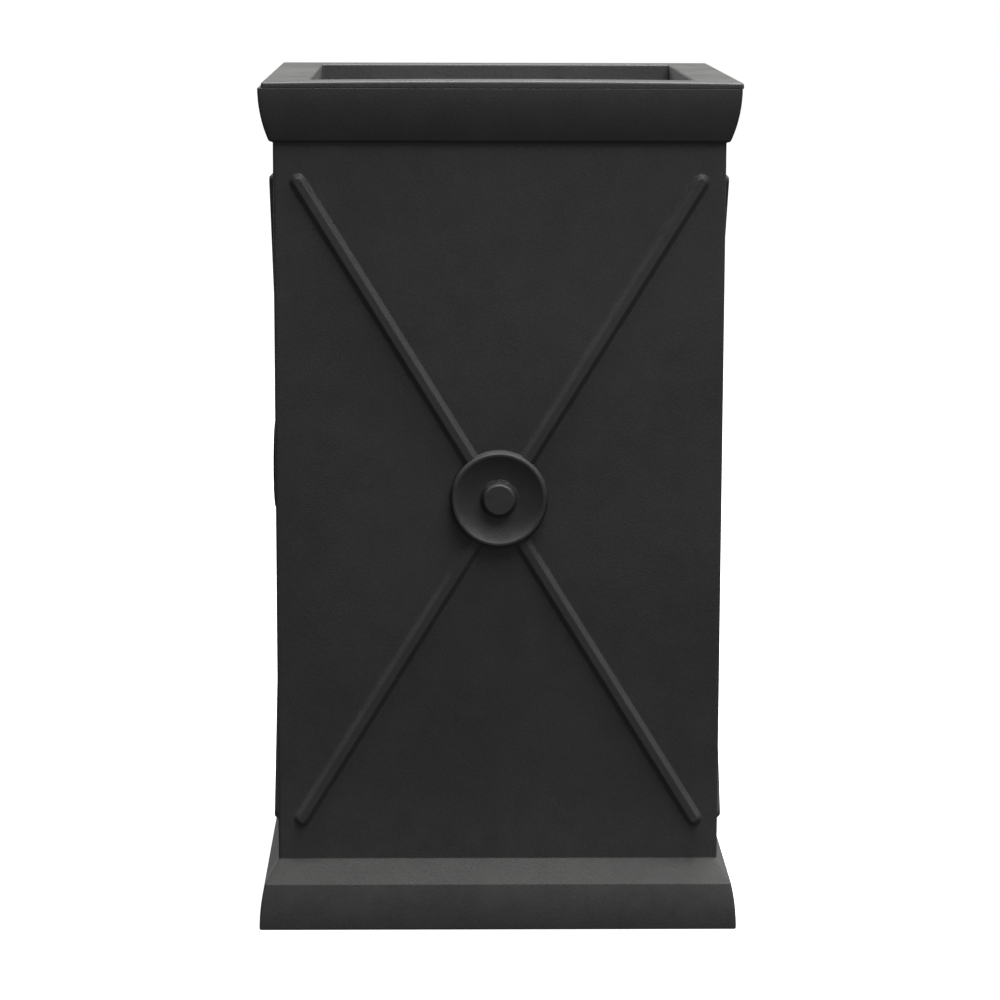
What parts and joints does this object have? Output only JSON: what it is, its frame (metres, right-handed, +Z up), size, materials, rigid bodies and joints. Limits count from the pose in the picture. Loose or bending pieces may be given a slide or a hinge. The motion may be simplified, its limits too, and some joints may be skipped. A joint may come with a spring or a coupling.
{
  "type": "ashtray bin",
  "caption": "Square pedestal ash and litter bin: moulded shell with cornice, plinth and crossed ribs, loose top frame, lift-out liner, ash tray and perforated stub plate.",
  "frame": {"origin": "on the ground at the centre of the square plinth, which is the bottom centre of the whole part", "axes": "+X to the right and +Y to the back as seen from the front face, +Z up"},
  "size_m": [0.415, 0.415, 0.732],
  "materials": {
    "shell_moulding": "charcoal glass-fibre moulding with a fine cast-lead texture",
    "frame_moulding": "the same charcoal moulding, worn a little paler on its flat top",
    "rosette_casting": "charcoal cast resin, fine texture",
    "plated_fasteners": "zinc plated",
    "seal_foam": "black closed-cell foam strip",
    "nylon_blocks": "black nylon",
    "board_plywood": "resin-faced exterior plywood, dark brown",
    "cleat_timber": "treated softwood batten",
    "foot_rubber": "black rubber",
    "galvanised_sheet": "hot-dip galvanised, faint spangle",
    "handle_wire": "bright drawn wire",
    "bracket_strap": "pressed strap, dull zinc",
    "rivet_alloy": "plain",
    "tray_steel": "stainless sheet, dulled by ash",
    "plate_steel": "perforated stainless, brushed, smudged with ash"
  },
  "bodies": {
    "bin_body": {"body_shell": "shell_moulding", "rosette_front": "rosette_casting", "rosette_right": "rosette_casting", "rosette_back": "rosette_casting", "rosette_left": "rosette_casting", "rosette_bolts": "plated_fasteners", "rosette_washers": "plated_fasteners", "lid_seal": "seal_foam", "base_board": "board_plywood", "base_cleat_front": "cleat_timber", "base_cleat_back": "cleat_timber", "base_cleat_left": "cleat_timber", "base_cleat_right": "cleat_timber", "base_screws": "plated_fasteners", "foot_front_left": "foot_rubber", "foot_back_left": "foot_rubber", "foot_front_right": "foot_rubber", "foot_back_right": "foot_rubber", "foot_screws": "plated_fasteners"},
    "lid": {"top_frame": "frame_moulding", "lid_block_front": "nylon_blocks", "lid_block_back": "nylon_blocks", "lid_block_left": "nylon_blocks", "lid_block_right": "nylon_blocks"},
    "liner": {"liner_front": "galvanised_sheet", "liner_back": "galvanised_sheet", "liner_left": "galvanised_sheet", "liner_right": "galvanised_sheet", "liner_floor": "galvanised_sheet", "liner_rim": "galvanised_sheet", "liner_handle_bracket_left": "bracket_strap", "liner_handle_bracket_right": "bracket_strap", "liner_rivets": "rivet_alloy"},
    "liner_handle_left": {"liner_handle_left": "handle_wire"},
    "liner_handle_right": {"liner_handle_right": "handle_wire"},
    "tray": {"ash_tray": "tray_steel", "tray_ledges": "tray_steel", "tray_handle_bracket_left": "bracket_strap", "tray_handle_bracket_right": "bracket_strap", "tray_rivets": "rivet_alloy"},
    "tray_handle_left": {"tray_handle_left": "handle_wire"},
    "tray_handle_right": {"tray_handle_right": "handle_wire"},
    "stub_plate": {"stub_plate": "plate_steel"}
  },
  "joints": [
    {"name": "lid_lift", "type": "slide", "parent": "bin_body", "child": "lid", "axis": [0, 0, 1], "range_m": [0, 0.12]},
    {"name": "liner_lift", "type": "slide", "parent": "bin_body", "child": "liner", "axis": [0, 0, 1], "range_m": [0, 0.72]},
    {"name": "tray_lift", "type": "slide", "parent": "liner", "child": "tray", "axis": [0, 0, 1], "range_m": [0, 0.12]},
    {"name": "plate_lift", "type": "slide", "parent": "tray", "child": "stub_plate", "axis": [0, 0, 1], "range_m": [0, 0.1]},
    {"name": "liner_handle_left_swing", "type": "hinge", "parent": "liner", "child": "liner_handle_left", "pos_m": [-0.1428, 0, 0.605], "axis": [0, -1, 0], "range_deg": [0, 90]},
    {"name": "liner_handle_right_swing", "type": "hinge", "parent": "liner", "child": "liner_handle_right", "pos_m": [0.1428, 0, 0.605], "axis": [0, 1, 0], "range_deg": [0, 90]},
    {"name": "tray_handle_left_swing", "type": "hinge", "parent": "tray", "child": "tray_handle_left", "pos_m": [-0.1408, 0, 0.67], "axis": [0, -1, 0], "range_deg": [0, 90]},
    {"name": "tray_handle_right_swing", "type": "hinge", "parent": "tray", "child": "tray_handle_right", "pos_m": [0.1408, 0, 0.67], "axis": [0, 1, 0], "range_deg": [0, 90]}
  ]
}
